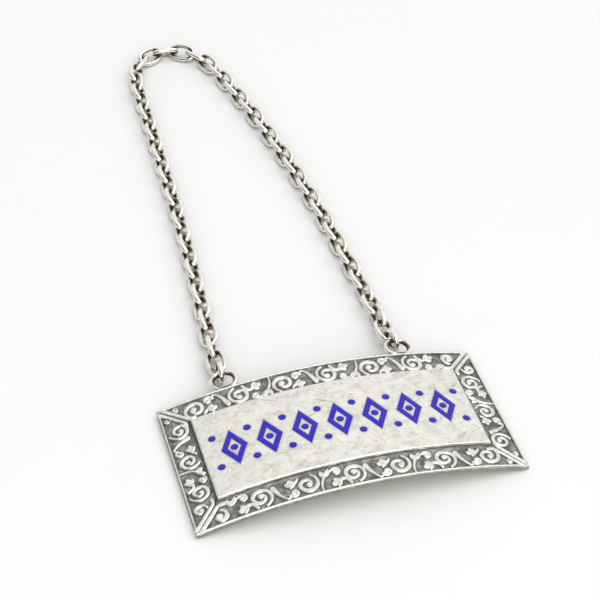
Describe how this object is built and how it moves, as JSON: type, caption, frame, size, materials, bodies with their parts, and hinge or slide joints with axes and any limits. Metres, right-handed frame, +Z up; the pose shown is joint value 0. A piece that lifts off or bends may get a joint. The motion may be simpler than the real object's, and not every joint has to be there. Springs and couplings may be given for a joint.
{
  "type": "wine label",
  "caption": "Arched rectangular silver wine label with a scroll border and blue enamel lozenges, hung on a cable chain that goes round a bottle's or decanter's neck.",
  "frame": {"origin": "middle of the plate, on the table plane that its two side lands rest on", "axes": "+X along the plate's width, +Y from the plate towards the chain, +Z up, out of the plate's face"},
  "size_m": [0.053, 0.1333, 0.0054],
  "materials": {
    "plate_silver": "satin",
    "border_silver": "oxidised in the ground, polished on the relief",
    "wire_silver": "polished, tarnished in the recesses",
    "enamel": "glossy"
  },
  "bodies": {
    "label": {"label_plate": "plate_silver", "border_top": "border_silver", "border_bottom": "border_silver", "border_left": "border_silver", "border_right": "border_silver", "enamel_lozenges": "enamel", "enamel_roundels": "enamel", "loop_left": "wire_silver", "loop_right": "wire_silver"},
    "ring_left": {"ring_left": "wire_silver"},
    "ring_right": {"ring_right": "wire_silver"},
    "chain_run_01": {"chain_run_01": "wire_silver"},
    "chain_run_02": {"chain_run_02": "wire_silver"},
    "chain_run_03": {"chain_run_03": "wire_silver"},
    "chain_run_04": {"chain_run_04": "wire_silver"},
    "chain_run_05": {"chain_run_05": "wire_silver"},
    "chain_run_06": {"chain_run_06": "wire_silver"},
    "chain_run_07": {"chain_run_07": "wire_silver"},
    "chain_run_08": {"chain_run_08": "wire_silver"},
    "chain_run_09": {"chain_run_09": "wire_silver"},
    "chain_run_10": {"chain_run_10": "wire_silver"},
    "chain_run_11": {"chain_run_11": "wire_silver"},
    "chain_run_12": {"chain_run_12": "wire_silver"},
    "chain_run_13": {"chain_run_13": "wire_silver"},
    "chain_run_14": {"chain_run_14": "wire_silver"},
    "chain_run_15": {"chain_run_15": "wire_silver"},
    "chain_run_16": {"chain_run_16": "wire_silver"},
    "chain_run_17": {"chain_run_17": "wire_silver"},
    "chain_run_18": {"chain_run_18": "wire_silver"},
    "chain_run_19": {"chain_run_19": "wire_silver"}
  },
  "joints": [
    {"name": "chain_swing", "type": "hinge", "parent": "label", "child": "ring_left", "pos_m": [-0.0148, 0.01775, 0.00313], "axis": [1, 0, 0], "range_deg": [-90, 150]},
    {"name": "ring_right_swing", "type": "hinge", "parent": "label", "child": "ring_right", "pos_m": [0.0148, 0.01775, 0.00313], "axis": [1, 0, 0], "range_deg": [-90, 150]},
    {"name": "run_01_turn", "type": "hinge", "parent": "ring_left", "child": "chain_run_01", "pos_m": [-0.0145, 0.02058, 0.00119], "axis": [0, 0, 1], "range_deg": [-45, 45]},
    {"name": "run_02_turn", "type": "hinge", "parent": "chain_run_01", "child": "chain_run_02", "pos_m": [-0.01394, 0.03092, 0.00176], "axis": [0, 0, 1], "range_deg": [-45, 45]},
    {"name": "run_03_turn", "type": "hinge", "parent": "chain_run_02", "child": "chain_run_03", "pos_m": [-0.01298, 0.04167, 0.00154], "axis": [0, 0, 1], "range_deg": [-45, 45]},
    {"name": "run_04_turn", "type": "hinge", "parent": "chain_run_03", "child": "chain_run_04", "pos_m": [-0.01218, 0.05244, 0.00154], "axis": [0, 0, 1], "range_deg": [-45, 45]},
    {"name": "run_05_turn", "type": "hinge", "parent": "chain_run_04", "child": "chain_run_05", "pos_m": [-0.01153, 0.06322, 0.00154], "axis": [0, 0, 1], "range_deg": [-45, 45]},
    {"name": "run_06_turn", "type": "hinge", "parent": "chain_run_05", "child": "chain_run_06", "pos_m": [-0.01105, 0.07401, 0.00154], "axis": [0, 0, 1], "range_deg": [-45, 45]},
    {"name": "run_07_turn", "type": "hinge", "parent": "chain_run_06", "child": "chain_run_07", "pos_m": [-0.0106, 0.0848, 0.00154], "axis": [0, 0, 1], "range_deg": [-45, 45]},
    {"name": "run_08_turn", "type": "hinge", "parent": "chain_run_07", "child": "chain_run_08", "pos_m": [-0.01018, 0.09559, 0.00154], "axis": [0, 0, 1], "range_deg": [-45, 45]},
    {"name": "run_09_turn", "type": "hinge", "parent": "chain_run_08", "child": "chain_run_09", "pos_m": [-0.00978, 0.10639, 0.00154], "axis": [0, 0, 1], "range_deg": [-45, 45]},
    {"name": "run_10_turn", "type": "hinge", "parent": "chain_run_09", "child": "chain_run_10", "pos_m": [-0.00652, 0.11639, 0.00154], "axis": [0, 0, 1], "range_deg": [-45, 45]},
    {"name": "loop_spread", "type": "hinge", "parent": "ring_right", "child": "chain_run_19", "pos_m": [0.0145, 0.02058, 0.00119], "axis": [0, 0, -1], "range_deg": [-4.17, 27.81]},
    {"name": "run_18_turn", "type": "hinge", "parent": "chain_run_19", "child": "chain_run_18", "pos_m": [0.0146, 0.03094, 0.00176], "axis": [0, 0, 1], "range_deg": [-45, 45]},
    {"name": "run_17_turn", "type": "hinge", "parent": "chain_run_18", "child": "chain_run_17", "pos_m": [0.01434, 0.04174, 0.00154], "axis": [0, 0, 1], "range_deg": [-45, 45]},
    {"name": "run_16_turn", "type": "hinge", "parent": "chain_run_17", "child": "chain_run_16", "pos_m": [0.0139, 0.05253, 0.00154], "axis": [0, 0, 1], "range_deg": [-45, 45]},
    {"name": "run_15_turn", "type": "hinge", "parent": "chain_run_16", "child": "chain_run_15", "pos_m": [0.01323, 0.06331, 0.00154], "axis": [0, 0, 1], "range_deg": [-45, 45]},
    {"name": "run_14_turn", "type": "hinge", "parent": "chain_run_15", "child": "chain_run_14", "pos_m": [0.01229, 0.07406, 0.00154], "axis": [0, 0, 1], "range_deg": [-45, 45]},
    {"name": "run_13_turn", "type": "hinge", "parent": "chain_run_14", "child": "chain_run_13", "pos_m": [0.01101, 0.08479, 0.00154], "axis": [0, 0, 1], "range_deg": [-45, 45]},
    {"name": "run_12_turn", "type": "hinge", "parent": "chain_run_13", "child": "chain_run_12", "pos_m": [0.00932, 0.09545, 0.00154], "axis": [0, 0, 1], "range_deg": [-45, 45]},
    {"name": "run_11_turn", "type": "hinge", "parent": "chain_run_12", "child": "chain_run_11", "pos_m": [0.00729, 0.10606, 0.00154], "axis": [0, 0, 1], "range_deg": [-45, 45]}
  ],
  "couplings": [
    {"joint": "ring_right_swing", "follows": "chain_swing", "ratio": 1},
    {"joint": "run_01_turn", "follows": "loop_spread", "ratio": 0.88446},
    {"joint": "run_02_turn", "follows": "loop_spread", "ratio": -0.26098},
    {"joint": "run_03_turn", "follows": "loop_spread", "ratio": -0.2654},
    {"joint": "run_04_turn", "follows": "loop_spread", "ratio": -0.27137},
    {"joint": "run_05_turn", "follows": "loop_spread", "ratio": -0.25842},
    {"joint": "run_06_turn", "follows": "loop_spread", "ratio": -0.18434},
    {"joint": "run_07_turn", "follows": "loop_spread", "ratio": -0.09948},
    {"joint": "run_08_turn", "follows": "loop_spread", "ratio": -0.035},
    {"joint": "run_09_turn", "follows": "loop_spread", "ratio": 0.07364},
    {"joint": "run_10_turn", "follows": "loop_spread", "ratio": 0.12547},
    {"joint": "run_18_turn", "follows": "loop_spread", "ratio": 0.40336},
    {"joint": "run_17_turn", "follows": "loop_spread", "ratio": 0.3758},
    {"joint": "run_16_turn", "follows": "loop_spread", "ratio": 0.30927},
    {"joint": "run_15_turn", "follows": "loop_spread", "ratio": 0.21626},
    {"joint": "run_14_turn", "follows": "loop_spread", "ratio": 0.11234},
    {"joint": "run_13_turn", "follows": "loop_spread", "ratio": 0.035},
    {"joint": "run_12_turn", "follows": "loop_spread", "ratio": -0.06817},
    {"joint": "run_11_turn", "follows": "loop_spread", "ratio": -0.12067}
  ]
}
